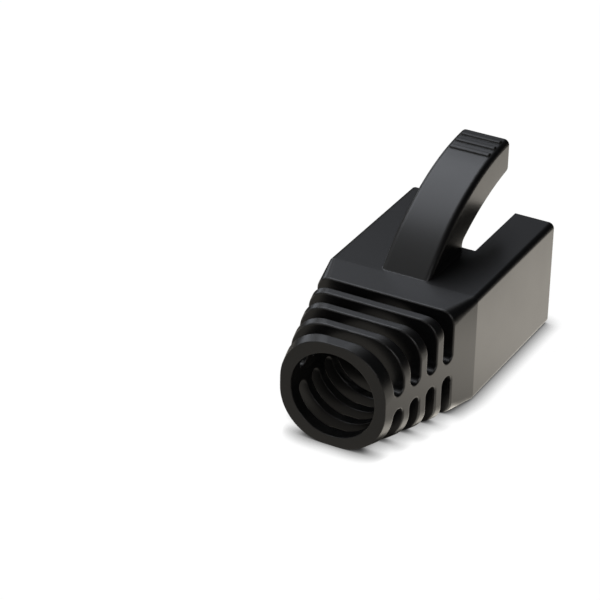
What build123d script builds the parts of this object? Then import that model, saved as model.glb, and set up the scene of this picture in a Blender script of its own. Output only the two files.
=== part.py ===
from build123d import *
import math
import os

os.makedirs("parts", exist_ok=True)

# Strain relief boot for a modular plug, in millimetres.
# The mouth that takes the plug faces -Y, the cable leaves at +Y, the latch guard arm is on top.
# Y is first counted from the mouth; the finished boot is moved so that its origin is the
# bottom centre of its box.

# Housing around the plug
BODY_WIDTH = 13.5
BODY_HEIGHT = 9.65
HOUSING_LENGTH = 14.8
SIDE_WALL = 0.6
FLOOR_WALL = 0.55
ROOF_WALL = 0.6
EDGE_RADIUS = 0.5
POCKET_CORNER = 0.3
POCKET_DEPTH = 14.0

# Opening in the roof for the plug's latch
LATCH_SLOT_WIDTH = 6.25
LATCH_SLOT_DEPTH = 7.8

# Snap ridge across the pocket floor, just inside the mouth
RIDGE_START = 0.4
RIDGE_HEIGHT = 0.42
RIDGE_TOP = 0.45
RIDGE_RAMP = 0.2

# Neck that narrows from the housing to the cable nose
BOOT_LENGTH = 26.7
NOSE_WIDTH = 9.4
NOSE_HEIGHT = 9.25
NOSE_FLAT = 0.9
NECK_FULLNESS = 1.3
BORE_DIAMETER = 7.5
FUNNEL_LENGTH = 3.2

# Flex slots across the neck, cut from above and from below into the bore
SLOT_COUNT = 4
SLOT_WIDTH = 1.27
SLOT_PITCH = 2.13
NOSE_RING = 1.14
SPINE_HEIGHT = 1.28
RIB_EDGE_RADIUS = 0.12

# Latch guard arm
ARM_WIDTH = 4.46
ARM_RADIUS = 20.33
ARM_CREST = 16.36
ARM_CREST_AHEAD = 0.55
ARM_WEB = 0.87
ARM_FLANGE = 0.7
ARM_EDGE_RADIUS = 0.48
ARM_TIP_HEIGHT = 2.8
ARM_FOOT_HEIGHT = 0.9
ARM_FOOT_SETBACK = 0.64
ARM_FOOT_RADIUS = 0.6
ARM_TIP_CORNER = 0.35
ARM_SOLID_ROOT = 2.3
ARM_SOFT_EDGE = 0.12

# Grip bars across the tip of the arm
GRIP_COUNT = 3
GRIP_START = 0.9
GRIP_PITCH = 1.07
GRIP_WIDTH = 0.44
GRIP_HEIGHT = 0.14
GRIP_LENGTH = 3.6
GRIP_EDGE_RADIUS = 0.06

# Cutters run past the faces they break through, and what lies closer than TOUCH is in contact
OVERRUN = 1.0
TOUCH = 0.01

bore_height = NOSE_HEIGHT / 2
arm_centre_y = -ARM_CREST_AHEAD
arm_centre_z = ARM_CREST - ARM_RADIUS


def across(y, z):
    """Plane square to the boot's length, with its local x along +X."""
    return Plane(origin=(0, y, z), x_dir=(1, 0, 0), z_dir=(0, 1, 0))


def rounded_section(y, z, width, height, radius):
    """Rounded rectangle across the boot, centred at height z."""
    return across(y, z) * RectangleRounded(width, height, radius)


def arm_height(y, radius):
    """Height of the arc of that radius, drawn about the arm's centre, at a distance y."""
    return arm_centre_z + math.sqrt(radius**2 - (y - arm_centre_y) ** 2)


def arm_reach(z, radius):
    """Distance from the mouth at which the same arc comes down to height z."""
    return arm_centre_y + math.sqrt(radius**2 - (z - arm_centre_z) ** 2)


def slot_centre(i):
    """Distance of a slot's middle from the mouth, counted from the nose."""
    return BOOT_LENGTH - NOSE_RING - SLOT_WIDTH / 2 - i * SLOT_PITCH


def neck_section(y):
    """Outline of the neck at that distance from the mouth, where it turns from flat to round."""
    share = (y - HOUSING_LENGTH) / (BOOT_LENGTH - HOUSING_LENGTH)
    width = BODY_WIDTH + (NOSE_WIDTH - BODY_WIDTH) * share
    height = BODY_HEIGHT + (NOSE_HEIGHT - BODY_HEIGHT) * share
    nose_corner = (min(NOSE_WIDTH, NOSE_HEIGHT) - NOSE_FLAT) / 2
    corner = EDGE_RADIUS + (nose_corner - EDGE_RADIUS) * share**NECK_FULLNESS
    return rounded_section(y, height / 2, width, height, corner)


def outer_body():
    """Housing and neck as one closed block, before it is hollowed."""
    housing = extrude(
        rounded_section(0, BODY_HEIGHT / 2, BODY_WIDTH, BODY_HEIGHT, EDGE_RADIUS),
        amount=HOUSING_LENGTH,
    )
    slot_stations = [slot_centre(i) for i in reversed(range(SLOT_COUNT))]
    stations = [HOUSING_LENGTH, *slot_stations, BOOT_LENGTH]
    return housing + loft([neck_section(y) for y in stations], ruled=True)


def pocket_prism(depth):
    """The pocket's section, run from outside the mouth to that depth."""
    width = BODY_WIDTH - 2 * SIDE_WALL
    height = BODY_HEIGHT - FLOOR_WALL - ROOF_WALL
    section = rounded_section(-OVERRUN, FLOOR_WALL + height / 2, width, height, POCKET_CORNER)
    return extrude(section, amount=depth + OVERRUN)


def cable_way():
    """Funnel from the pocket's end into the bore, and the bore out through the nose."""
    wide = math.hypot(BODY_WIDTH, BODY_HEIGHT) / 2
    prism = pocket_prism(POCKET_DEPTH + FUNNEL_LENGTH)
    cone = across(POCKET_DEPTH, bore_height) * Cone(
        wide, BORE_DIAMETER / 2, FUNNEL_LENGTH, align=(Align.CENTER, Align.CENTER, Align.MIN)
    )
    bore_start = POCKET_DEPTH + FUNNEL_LENGTH
    bore = across(bore_start, bore_height) * Cylinder(
        BORE_DIAMETER / 2,
        BOOT_LENGTH - bore_start + OVERRUN,
        align=(Align.CENTER, Align.CENTER, Align.MIN),
    )
    return (prism & cone) + bore


def latch_slot():
    """Opening through the roof, from the mouth back."""
    return Pos(0, -OVERRUN, BODY_HEIGHT + OVERRUN) * Box(
        LATCH_SLOT_WIDTH,
        LATCH_SLOT_DEPTH + OVERRUN,
        ROOF_WALL + 2 * OVERRUN,
        align=(Align.CENTER, Align.MIN, Align.MAX),
    )


def snap_ridge():
    """Low bar across the floor that the plug clicks over; its ends run into the side walls."""
    foot = FLOOR_WALL / 2
    top = FLOOR_WALL + RIDGE_HEIGHT
    rear = RIDGE_START + RIDGE_RAMP + RIDGE_TOP
    outline = Polyline(
        (RIDGE_START, foot),
        (RIDGE_START, FLOOR_WALL),
        (RIDGE_START + RIDGE_RAMP, top),
        (rear, top),
        (rear + RIDGE_RAMP, FLOOR_WALL),
        (rear + RIDGE_RAMP, foot),
        close=True,
    )
    return extrude(Plane.YZ * make_face(outline), amount=(BODY_WIDTH - SIDE_WALL) / 2, both=True)


def slot_cutter(y, side):
    """One slot with a round end, above the side spines or, with side -1, below them."""
    end_radius = SLOT_WIDTH / 2
    near = bore_height + side * (SPINE_HEIGHT / 2 + end_radius)
    far = bore_height + side * BODY_HEIGHT
    middle = Pos(y, (near + far) / 2)
    outline = Pos(y, near) * Circle(end_radius) + middle * Rectangle(SLOT_WIDTH, abs(far - near))
    return extrude(Plane.YZ * outline, amount=BODY_WIDTH, both=True)


def cut_flex_slots(body):
    """Cuts the rows of slots through a solid body and softens their outer edges."""
    slotted = body
    for i in range(SLOT_COUNT):
        for side in (1, -1):
            slotted -= slot_cutter(slot_centre(i), side)
    lips = []
    for edge in slotted.edges():
        box = edge.bounding_box()
        nearest = min(abs(edge.center().Y - slot_centre(i)) for i in range(SLOT_COUNT))
        within_slot = nearest + box.size.Y / 2 < SLOT_WIDTH / 2 + TOUCH
        if within_slot and body.shell().distance_to(edge @ 0.5) < TOUCH:
            lips.append(edge)
    return fillet(lips, RIB_EDGE_RADIUS)


def arm_outline():
    """Side view of the arm: its back, tip, lower edge and foot."""
    root = arm_reach(BODY_HEIGHT, ARM_RADIUS)
    tip_top = arm_height(0, ARM_RADIUS)
    tip_bottom = tip_top - ARM_TIP_HEIGHT
    foot_y = LATCH_SLOT_DEPTH + ARM_FOOT_SETBACK
    foot_z = BODY_HEIGHT + ARM_FOOT_HEIGHT
    seat = BODY_HEIGHT - ROOF_WALL / 2
    middle = foot_y / 2
    depth_there = ARM_TIP_HEIGHT / 2 + (arm_height(foot_y, ARM_RADIUS) - foot_z) / 2
    lower = (middle, arm_height(middle, ARM_RADIUS) - depth_there)
    back = ThreePointArc(
        (0, tip_top), (root / 2, arm_height(root / 2, ARM_RADIUS)), (root, BODY_HEIGHT)
    )
    base = Polyline((root, BODY_HEIGHT), (root, seat), (foot_y, seat), (foot_y, foot_z))
    underside = ThreePointArc((foot_y, foot_z), lower, (0, tip_bottom))
    tip = Line((0, tip_bottom), (0, tip_top))
    face = make_face([back, base, underside, tip])
    face = fillet(face.vertices().sort_by_distance((foot_y, foot_z))[0], ARM_FOOT_RADIUS)
    return fillet(face.vertices().sort_by_distance((0, tip_bottom))[0], ARM_TIP_CORNER)


def arm_hollow():
    """Channel under the arm's web, open at the tip and down to the roof."""
    inner = ARM_RADIUS - ARM_WEB
    end = arm_reach(BODY_HEIGHT, ARM_RADIUS) - ARM_SOLID_ROOT
    floor = BODY_HEIGHT - ROOF_WALL
    ceiling = ThreePointArc(
        (-OVERRUN, arm_height(-OVERRUN, inner)),
        (end / 2, arm_height(end / 2, inner)),
        (end, arm_height(end, inner)),
    )
    rest = Polyline(ceiling @ 1, (end, floor), (-OVERRUN, floor), ceiling @ 0)
    return extrude(
        Plane.YZ * make_face([ceiling, rest]), amount=ARM_WIDTH / 2 - ARM_FLANGE, both=True
    )


def grip_bars():
    """Raised bars across the arm's back, near its tip."""
    bars = []
    for i in range(GRIP_COUNT):
        y = GRIP_START + i * GRIP_PITCH
        turn = math.degrees(math.asin((y - arm_centre_y) / ARM_RADIUS))
        place = Pos(0, y, arm_height(y, ARM_RADIUS)) * Rot(-turn, 0, 0)
        bar = Box(GRIP_LENGTH, GRIP_WIDTH, 2 * GRIP_HEIGHT)
        top = bar.faces().sort_by(Axis.Z)[-1]
        bars.append(place * fillet(top.edges(), GRIP_EDGE_RADIUS))
    return bars


def guard_arm():
    """The arm: a curved channel section with soft outer edges and grip bars."""
    arm = extrude(Plane.YZ * arm_outline(), amount=ARM_WIDTH / 2, both=True)
    back_face = arm.faces().filter_by(GeomType.CYLINDER).sort_by(SortBy.AREA)[-1]
    arm = fillet(back_face.edges().filter_by(GeomType.CIRCLE), ARM_EDGE_RADIUS)
    tip_face = arm.faces().sort_by(Axis.Y)[0]
    tip_edges = tip_face.edges().sort_by(Axis.Z)[1:]
    arm = fillet(tip_edges, ARM_SOFT_EDGE)
    return arm - arm_hollow()


boot = cut_flex_slots(outer_body())
boot = boot - pocket_prism(POCKET_DEPTH) - cable_way() - latch_slot()
boot += snap_ridge()
boot += guard_arm()
for bar in grip_bars():
    boot += bar

boot = Pos(0, -BOOT_LENGTH / 2, 0) * boot
boot.label = "boot"
export_step(boot, "parts/boot.step")
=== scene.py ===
"""Studio scene of a strain relief boot for a modular network plug.

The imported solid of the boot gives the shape. This script gives it its moulded plastic finish, and
sets it on a pale floor under soft studio light, seen as in the photograph.
All lengths are in metres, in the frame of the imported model: +Y runs from the plug mouth to the
cable nose, +Z goes up through the latch guard arm, and +X goes across.
"""
import logging
from dataclasses import dataclass, field
from enum import Enum
from typing import Any, Sequence

import bpy
from mathutils import Matrix, Vector

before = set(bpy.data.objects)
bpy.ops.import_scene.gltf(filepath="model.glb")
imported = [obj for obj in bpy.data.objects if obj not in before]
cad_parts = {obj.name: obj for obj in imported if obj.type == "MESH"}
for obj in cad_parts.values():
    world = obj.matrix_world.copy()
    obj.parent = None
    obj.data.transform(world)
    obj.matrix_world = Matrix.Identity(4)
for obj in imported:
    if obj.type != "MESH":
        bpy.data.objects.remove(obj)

LOG = logging.getLogger("boot_scene")
MM = 0.001

Triple = tuple[float, float, float]
Span = tuple[float, float]
RISING: Span = (0.0, 1.0)
FALLING: Span = (1.0, 0.0)


class NodeGraph:
    """The node tree of one material or of the world, with short ways to add and join nodes."""

    def __init__(self, tree: bpy.types.NodeTree) -> None:
        """Empties the tree.

        Args:
            tree: the node tree to fill.
        """
        self.tree = tree
        tree.nodes.clear()

    def add(self, kind: str, **settings: Any) -> bpy.types.Node:
        """Adds a node.

        Args:
            kind: Blender's name for the kind of node.
            **settings: the node's own properties.

        Returns:
            The new node.
        """
        node = self.tree.nodes.new(kind)
        for name, value in settings.items():
            setattr(node, name, value)
        return node

    def feed(self, node: bpy.types.Node, **inputs: Any) -> bpy.types.Node:
        """Sets or joins a node's inputs, by name or as i0, i1 and so on by number.

        Args:
            node: the node whose inputs are filled.
            **inputs: a socket joins, anything else is set as the socket's value.

        Returns:
            The same node.
        """
        for name, value in inputs.items():
            by_number = name[0] == "i" and name[1:].isdigit()
            socket = node.inputs[int(name[1:]) if by_number else name.replace("_", " ")]
            if isinstance(value, bpy.types.NodeSocket):
                self.tree.links.new(value, socket)
            else:
                socket.default_value = value
        return node

    def maths(self, operation: str, a: Any, b: Any = 0.0) -> bpy.types.NodeSocket:
        """Adds one sum and returns its result."""
        node = self.feed(self.add("ShaderNodeMath", operation=operation), i0=a, i1=b)
        return node.outputs[0]

    def chain(self, operation: str, first: Any, *others: Any) -> bpy.types.NodeSocket:
        """Applies one operation to a first value and each further value in turn.

        Args:
            operation: Blender's name for the operation.
            first: the first value or socket.
            *others: what is joined to it, in this order.

        Returns:
            The socket of the result.
        """
        result = first
        for other in others:
            result = self.maths(operation, result, other)
        return result

    def step(
        self, value: bpy.types.NodeSocket, between: Span, levels: Span
    ) -> bpy.types.NodeSocket:
        """Turns one level smoothly into another.

        Args:
            value: what is measured.
            between: where the change starts and ends.
            levels: the level before and after.

        Returns:
            The socket of the level.
        """
        node = self.feed(
            self.add("ShaderNodeMapRange", interpolation_type="SMOOTHSTEP"),
            Value=value,
            i1=between[0],
            i2=between[1],
            i3=levels[0],
            i4=levels[1],
        )
        return node.outputs["Result"]


@dataclass(frozen=True)
class MouldedPlastic:
    """Black soft plastic as it leaves the mould: satin, finely grained, cloudy in its gloss."""

    name: str = "boot_moulded_plastic"
    colour: Triple = (0.0042, 0.0042, 0.0045)
    roughness: float = 0.31
    roughness_cloud: float = 0.012
    specular: float = 0.62
    cloud_size: float = 3.5 * MM
    cloud_detail: float = 3.0
    cloud_between: Span = (0.3, 0.7)
    grain_size: float = 0.11 * MM
    grain_detail: float = 2.0
    grain_depth: float = 0.004 * MM
    grain_strength: float = 0.35
    edge_softness: float = 0.15 * MM
    edge_samples: int = 6

    def material(self) -> bpy.types.Material:
        """Builds the material.

        Returns:
            The new material, which reads Object coordinates only.
        """
        material = bpy.data.materials.new(self.name)
        material.use_nodes = True
        graph = NodeGraph(material.node_tree)
        place = graph.add("ShaderNodeTexCoord").outputs["Object"]
        cloud = graph.feed(
            graph.add("ShaderNodeTexNoise"),
            Vector=place,
            Scale=1 / self.cloud_size,
            Detail=self.cloud_detail,
        )
        grain = graph.feed(
            graph.add("ShaderNodeTexNoise"),
            Vector=place,
            Scale=1 / self.grain_size,
            Detail=self.grain_detail,
        )
        spread = graph.feed(
            graph.add("ShaderNodeMapRange"),
            Value=cloud.outputs["Fac"],
            i1=self.cloud_between[0],
            i2=self.cloud_between[1],
            i3=self.roughness - self.roughness_cloud,
            i4=self.roughness + self.roughness_cloud,
        )
        soft_edge = graph.feed(
            graph.add("ShaderNodeBevel", samples=self.edge_samples), Radius=self.edge_softness
        )
        bump = graph.feed(
            graph.add("ShaderNodeBump"),
            Strength=self.grain_strength,
            Distance=self.grain_depth,
            Height=grain.outputs["Fac"],
            Normal=soft_edge.outputs["Normal"],
        )
        shader = graph.feed(
            graph.add("ShaderNodeBsdfPrincipled"),
            Base_Color=(*self.colour, 1.0),
            Roughness=spread.outputs["Result"],
            Specular_IOR_Level=self.specular,
            Normal=bump.outputs["Normal"],
        )
        out = graph.add("ShaderNodeOutputMaterial")
        graph.feed(out, Surface=shader.outputs["BSDF"])
        return material


class FloorPlace:
    """Where on the floor a point lies, in metres from the boot's middle."""

    def __init__(self, graph: NodeGraph) -> None:
        """Adds the nodes that measure the place.

        Args:
            graph: the floor's node graph.
        """
        place = graph.add("ShaderNodeTexCoord").outputs["Object"]
        apart = graph.feed(graph.add("ShaderNodeSeparateXYZ"), Vector=place)
        self.x = apart.outputs["X"]
        self.y = apart.outputs["Y"]
        self.across = graph.maths("ABSOLUTE", self.x)


@dataclass(frozen=True)
class PaleFloor:
    """White studio floor.

    The camera sees paper white with a painted shadow of the boot, darkest where the boot touches
    it, and painted shade right under the boot. Glossy plastic sees a glowing sheet, a painted
    reflection that brightens towards one side, as if a long soft strip lay along it, with painted
    shade under the neck, before the mouth and past the far side. All other light meets a matt
    white. A pair of lengths says where a level starts to change and where the change ends.
    """

    name: str = "studio_floor"
    colour: Triple = (0.86, 0.86, 0.86)

    # For the camera: paper white, the painted shadow at the boot's foot, and the painted shade
    # right under the boot.
    paper_white: float = 1.0
    shaded_colour: Triple = (0.02, 0.02, 0.02)
    painted_shadow_reach: float = 1.5 * MM
    painted_shadow_depth: float = 1.6
    painted_shadow_samples: int = 16
    painted_under_shade_x: Span = (1.4 * MM, 3.2 * MM)
    painted_under_shade_y: Span = (12.2 * MM, 13.35 * MM)

    # For gloss, a painted reflection: the glowing strip's tint, the way it brightens, and where it
    # fades.
    glow_tint: Triple = (1.0, 0.94, 0.84)
    glow_towards: Span = (0.45, -0.89)
    glow_rise: Span = (-14 * MM, 14 * MM)
    glow_levels: Span = (0.37, 1.72)
    glow_edge: Span = (-21.5 * MM, -14.2 * MM)
    glow_beyond: float = 0.1
    glow_far: Span = (-17 * MM, -9 * MM)
    glow_far_level: float = 0.55

    # For gloss: painted shade on the floor that the neck covers, and a painted glow on the floor
    # close beside it.
    neck_slant: float = 0.13
    covered_left: Span = (6.05 * MM, 6.5 * MM)
    covered_right: Span = (6.0 * MM, 7.4 * MM)
    covered_front: Span = (12.4 * MM, 13.6 * MM)
    covered_back: Span = (2.6 * MM, 3.6 * MM)
    covered_side: Span = (-3.6 * MM, -2.2 * MM)
    painted_neck_shade_levels: Span = (0.1, 0.40)
    painted_neck_glow: float = 1.4
    painted_neck_glow_end: Span = (-8.0 * MM, -6.3 * MM)

    # For gloss: painted shade on the floor before the mouth, in the far corner, and along the far
    # side.
    painted_mouth_shade_x: Span = (4.5 * MM, 7.5 * MM)
    painted_mouth_shade_y: Span = (-13.6 * MM, -12.4 * MM)
    painted_mouth_shade_level: float = 0.35
    painted_corner_shade_x: Span = (10.0 * MM, 18.0 * MM)
    painted_corner_shade_y: Span = (-17.0 * MM, -11.0 * MM)
    painted_corner_shade_level: float = 0.05
    painted_band_shade_start: Span = (12.0 * MM, 15.5 * MM)
    painted_band_shade_end: Span = (31.0 * MM, 44.0 * MM)
    painted_band_shade_y: Span = (4.0 * MM, 8.0 * MM)
    painted_band_shade_level: float = 0.08

    def material(self) -> bpy.types.Material:
        """Builds the material.

        Returns:
            The new material, with one look each for the camera, for gloss and for other light.
        """
        material = bpy.data.materials.new(self.name)
        material.use_nodes = True
        graph = NodeGraph(material.node_tree)
        path = graph.add("ShaderNodeLightPath")
        matt = graph.feed(graph.add("ShaderNodeBsdfDiffuse"), Color=(*self.colour, 1.0))
        for_gloss = graph.feed(
            graph.add("ShaderNodeMixShader"),
            i0=path.outputs["Is Glossy Ray"],
            i1=matt.outputs[0],
            i2=self.painted_reflection_sheet(graph),
        )
        for_camera = graph.feed(
            graph.add("ShaderNodeMixShader"),
            i0=path.outputs["Is Camera Ray"],
            i1=for_gloss.outputs[0],
            i2=self.paper(graph),
        )
        out = graph.add("ShaderNodeOutputMaterial")
        graph.feed(out, Surface=for_camera.outputs[0])
        return material

    def paper(self, graph: NodeGraph) -> bpy.types.NodeSocket:
        """Builds what the camera sees: paper white with a painted contact shadow and painted shade
        under the boot.

        Args:
            graph: the floor's node graph.

        Returns:
            The socket of the shader.
        """
        # Painted shadow: ambient occlusion darkens the emitting paper where the boot stands close
        # to it.
        painted_contact_shadow = graph.feed(
            graph.add("ShaderNodeAmbientOcclusion", samples=self.painted_shadow_samples),
            Distance=self.painted_shadow_reach,
        )
        clear = graph.maths("POWER", painted_contact_shadow.outputs["AO"], self.painted_shadow_depth)
        # Painted shade: the paper goes dark right under the boot, set by position.
        place = FloorPlace(graph)
        beside = graph.step(place.across, self.painted_under_shade_x, RISING)
        before = graph.step(graph.maths("ABSOLUTE", place.y), self.painted_under_shade_y, RISING)
        clear = graph.maths("MULTIPLY", clear, graph.maths("MAXIMUM", beside, before))
        white = graph.feed(
            graph.add("ShaderNodeEmission"),
            Strength=graph.maths("MULTIPLY", clear, self.paper_white),
        )
        shaded = graph.feed(
            graph.add("ShaderNodeBsdfDiffuse"), Color=(*self.shaded_colour, 1.0)
        )
        both = graph.feed(
            graph.add("ShaderNodeAddShader"), i0=white.outputs[0], i1=shaded.outputs[0]
        )
        return both.outputs[0]

    def painted_reflection_sheet(self, graph: NodeGraph) -> bpy.types.NodeSocket:
        """Builds what glossy plastic sees in the floor: a glowing sheet that paints reflections,
        with painted shade.

        Args:
            graph: the floor's node graph.

        Returns:
            The socket of the shader.
        """
        # Painted reflection: a glowing sheet that only gloss sees, brighter towards one side, with
        # painted shade where the boot would shade the floor.
        place = FloorPlace(graph)
        slant = graph.maths(
            "SUBTRACT", graph.maths("MULTIPLY", place.y, self.neck_slant), place.x
        )
        beside_neck = graph.step(slant, self.covered_left, RISING)
        lit = graph.chain(
            "MULTIPLY",
            self.brightening(graph, place),
            self.fading(graph, place),
            self.clear_of_painted_neck_shade(graph, place, beside_neck),
            self.painted_mouth_shade(graph, place),
            self.painted_corner_shade(graph, place),
            self.painted_band_shade(graph, place),
        )
        # Painted glow on the floor close beside the neck, seen only in reflections.
        near = graph.chain(
            "MULTIPLY",
            beside_neck,
            self.painted_neck_glow,
            graph.step(place.x, self.painted_neck_glow_end, RISING),
            graph.step(place.y, self.covered_front, FALLING),
            graph.step(place.y, self.covered_back, RISING),
        )
        sheet = graph.feed(
            graph.add("ShaderNodeEmission"),
            Color=(*self.glow_tint, 1.0),
            Strength=graph.maths("ADD", lit, near),
        )
        return sheet.outputs[0]

    def brightening(self, graph: NodeGraph, place: FloorPlace) -> bpy.types.NodeSocket:
        """Brightens the painted reflection towards one side.

        Args:
            graph: the floor's node graph.
            place: where on the floor the point lies.

        Returns:
            The socket of the level.
        """
        along = graph.maths(
            "ADD",
            graph.maths("MULTIPLY", place.across, self.glow_towards[0]),
            graph.maths("MULTIPLY", place.y, self.glow_towards[1]),
        )
        return graph.step(along, self.glow_rise, self.glow_levels)

    def fading(self, graph: NodeGraph, place: FloorPlace) -> bpy.types.NodeSocket:
        """Fades the painted reflection at the strip's outer edge, less so beside the nose.

        Args:
            graph: the floor's node graph.
            place: where on the floor the point lies.

        Returns:
            The socket of the level.
        """
        return graph.maths(
            "MAXIMUM",
            graph.step(place.x, self.glow_edge, (self.glow_beyond, 1.0)),
            graph.step(place.y, self.glow_far, (0.0, self.glow_far_level)),
        )

    def clear_of_painted_neck_shade(
        self, graph: NodeGraph, place: FloorPlace, beside_neck: bpy.types.NodeSocket
    ) -> bpy.types.NodeSocket:
        """Paints shade on the floor that the neck covers, for gloss only.

        Args:
            graph: the floor's node graph.
            place: where on the floor the point lies.
            beside_neck: level that rises at the neck's slanted edge.

        Returns:
            The socket of the level.
        """
        return graph.chain(
            "MAXIMUM",
            beside_neck,
            graph.step(place.x, self.covered_side, self.painted_neck_shade_levels),
            graph.step(place.x, self.covered_right, RISING),
            graph.step(place.y, self.covered_front, RISING),
            graph.step(place.y, self.covered_back, FALLING),
        )

    def painted_mouth_shade(self, graph: NodeGraph, place: FloorPlace) -> bpy.types.NodeSocket:
        """Paints shade on the floor before the plug mouth, for gloss only.

        Args:
            graph: the floor's node graph.
            place: where on the floor the point lies.

        Returns:
            The socket of the level.
        """
        brighter = (self.painted_mouth_shade_level, 1.0)
        return graph.maths(
            "MAXIMUM",
            graph.step(place.across, self.painted_mouth_shade_x, brighter),
            graph.step(place.y, self.painted_mouth_shade_y, brighter),
        )

    def painted_corner_shade(self, graph: NodeGraph, place: FloorPlace) -> bpy.types.NodeSocket:
        """Paints shade on the far corner of the floor, past the mouth and the far side, for gloss
        only.

        Args:
            graph: the floor's node graph.
            place: where on the floor the point lies.

        Returns:
            The socket of the level.
        """
        return graph.maths(
            "MAXIMUM",
            graph.step(place.x, self.painted_corner_shade_x, (1.0, self.painted_corner_shade_level)),
            graph.step(place.y, self.painted_corner_shade_y, (self.painted_corner_shade_level, 1.0)),
        )

    def painted_band_shade(self, graph: NodeGraph, place: FloorPlace) -> bpy.types.NodeSocket:
        """Paints a band of shade on the floor along the far side, for gloss only.

        Args:
            graph: the floor's node graph.
            place: where on the floor the point lies.

        Returns:
            The socket of the level.
        """
        brighter = (self.painted_band_shade_level, 1.0)
        return graph.chain(
            "MAXIMUM",
            graph.step(place.x, self.painted_band_shade_start, (1.0, self.painted_band_shade_level)),
            graph.step(place.x, self.painted_band_shade_end, brighter),
            graph.step(place.y, self.painted_band_shade_y, brighter),
        )


@dataclass
class Boot:
    """The boot itself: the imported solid, dressed in its moulded finish."""

    node: str = "boot"
    slot: str = "boot"
    finish: MouldedPlastic = field(default_factory=MouldedPlastic)

    def build(self) -> bpy.types.Object:
        """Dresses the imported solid.

        Returns:
            The solid's object, with its finish on every material slot.
        """
        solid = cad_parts[self.node]
        material = self.finish.material()
        if not solid.material_slots:
            solid.data.materials.append(material)
        for place in solid.material_slots:
            place.material = material
        return solid


class LampRole(Enum):
    """What each lamp of the studio is for."""

    KEY = "key"
    BACK = "back"
    FRONT = "front"
    SIDE = "side"
    FILL = "fill"


@dataclass(frozen=True)
class SoftBox:
    """One large soft lamp that looks at the boot."""

    role: LampRole
    place: Triple
    width: float
    depth: float
    power: float
    colour: Triple = (1.0, 1.0, 1.0)

    def build(self, aim: Vector) -> bpy.types.Object:
        """Hangs the lamp.

        Args:
            aim: the point that the lamp looks at.

        Returns:
            The lamp's object.
        """
        lamp = bpy.data.lights.new(f"softbox_{self.role.value}", "AREA")
        lamp.shape = "RECTANGLE"
        lamp.size, lamp.size_y = self.width, self.depth
        lamp.energy = self.power
        lamp.color = self.colour
        holder = bpy.data.objects.new(lamp.name, lamp)
        bpy.context.scene.collection.objects.link(holder)
        holder.location = self.place
        holder.rotation_mode = "QUATERNION"
        holder.rotation_quaternion = (aim - holder.location).to_track_quat("-Z", "Y")
        return holder


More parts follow.
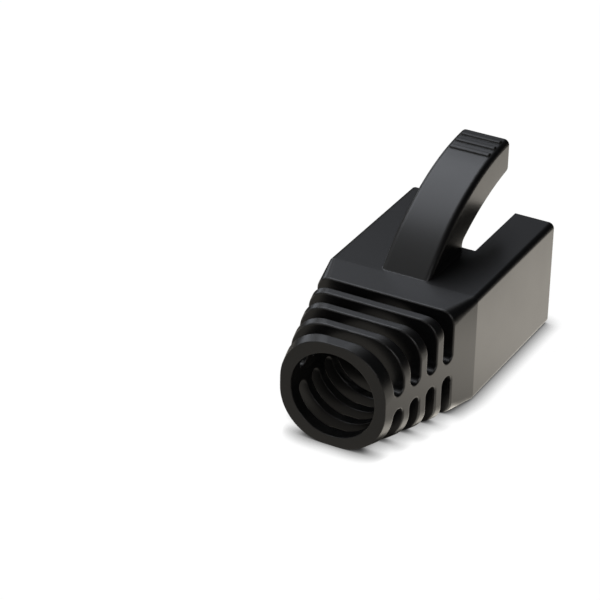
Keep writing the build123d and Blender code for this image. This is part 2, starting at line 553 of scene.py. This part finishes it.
@dataclass
class Studio:
    """Floor, soft lamps, surrounding light and the camera."""

    floor_side: float = 3.0
    floor: PaleFloor = field(default_factory=PaleFloor)
    dome_tint: Triple = (0.97, 0.97, 0.97)
    dome_towards: Triple = (0.6, 0.0, 0.8)
    dome_between: Span = (0.45, 0.85)
    dome_levels: Span = (0.02, 0.44)
    aim: Triple = (0.0, 0.0, 0.006)
    camera_place: Triple = (-0.0859985, 0.1790169, 0.1186261)
    camera_axes: tuple[Triple, Triple, Triple] = (
        (-0.875843, 0.250909, -0.412241),
        (-0.482262, -0.423303, 0.766966),
        (0.017936, 0.870551, 0.491751),
    )
    lens: float = 166.689
    sensor_width: float = 36.0
    clip: Span = (0.005, 20.0)
    lamps: Sequence[SoftBox] = (
        SoftBox(LampRole.KEY, (0.21, -0.11, 0.38), 0.32, 0.29, 0.585, (0.88, 0.92, 1.0)),
        SoftBox(LampRole.BACK, (0.27, -0.44, 0.44), 0.34, 0.26, 0.09, (0.78, 0.85, 1.0)),
        SoftBox(LampRole.FRONT, (-0.31, 0.37, 0.27), 0.34, 0.26, 0.50),
        SoftBox(LampRole.SIDE, (0.43, -0.32, 0.12), 0.14, 0.12, 0.07, (0.86, 0.91, 1.0)),
        SoftBox(LampRole.FILL, (0.19, 0.47, 0.20), 0.30, 0.14, 0.16),
    )

    def build(self) -> None:
        """Builds the floor, the light and the camera."""
        self.lay_floor()
        for box in self.lamps:
            box.build(Vector(self.aim))
        self.light_surround()
        self.set_camera()

    def lay_floor(self) -> bpy.types.Object:
        """Lays the floor under the boot.

        Returns:
            The floor's object.
        """
        bpy.ops.object.select_all(action="DESELECT")
        bpy.ops.mesh.primitive_plane_add(size=self.floor_side, location=(0, 0, 0))
        floor = bpy.context.active_object
        floor.name = "studio_floor"
        floor.data.materials.append(self.floor.material())
        return floor

    def light_surround(self) -> None:
        """Gives the surroundings a soft light from above, and the camera a white horizon."""
        world = bpy.data.worlds.new("studio_surround")
        bpy.context.scene.world = world
        world.use_nodes = True
        graph = NodeGraph(world.node_tree)
        direction = graph.add("ShaderNodeTexCoord").outputs["Generated"]
        towards = graph.feed(
            graph.add("ShaderNodeVectorMath", operation="DOT_PRODUCT"),
            i0=direction,
            i1=self.dome_towards,
        )
        dome = graph.feed(
            graph.add("ShaderNodeBackground"),
            Color=(*self.dome_tint, 1.0),
            Strength=graph.step(towards.outputs["Value"], self.dome_between, self.dome_levels),
        )
        white = graph.feed(graph.add("ShaderNodeBackground"), Color=(1.0, 1.0, 1.0, 1.0))
        seen = graph.add("ShaderNodeLightPath").outputs["Is Camera Ray"]
        mixed = graph.feed(
            graph.add("ShaderNodeMixShader"), i0=seen, i1=dome.outputs[0], i2=white.outputs[0]
        )
        out = graph.add("ShaderNodeOutputWorld")
        graph.feed(out, Surface=mixed.outputs[0])

    def set_camera(self) -> bpy.types.Object:
        """Puts the camera where the photograph was taken from.

        Returns:
            The camera's object, now the scene's camera.
        """
        lens = bpy.data.cameras.new("photograph_camera")
        lens.sensor_fit = "HORIZONTAL"
        lens.sensor_width = self.sensor_width
        lens.lens = self.lens
        lens.clip_start, lens.clip_end = self.clip
        camera = bpy.data.objects.new(lens.name, lens)
        bpy.context.scene.collection.objects.link(camera)
        turn = Matrix(self.camera_axes).to_4x4()
        camera.matrix_world = Matrix.Translation(self.camera_place) @ turn
        bpy.context.scene.camera = camera
        return camera


def main() -> None:
    """Builds the boot and the studio, and reports each piece."""
    logging.basicConfig(level=logging.INFO, format="%(message)s")
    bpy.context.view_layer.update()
    bpy.context.scene.view_settings.view_transform = "Standard"
    boot = Boot().build()
    LOG.info("boot dressed: %s, %d faces", boot.name, len(boot.data.polygons))
    Studio().build()
    LOG.info("studio built")


if __name__ == "__main__":
    main()
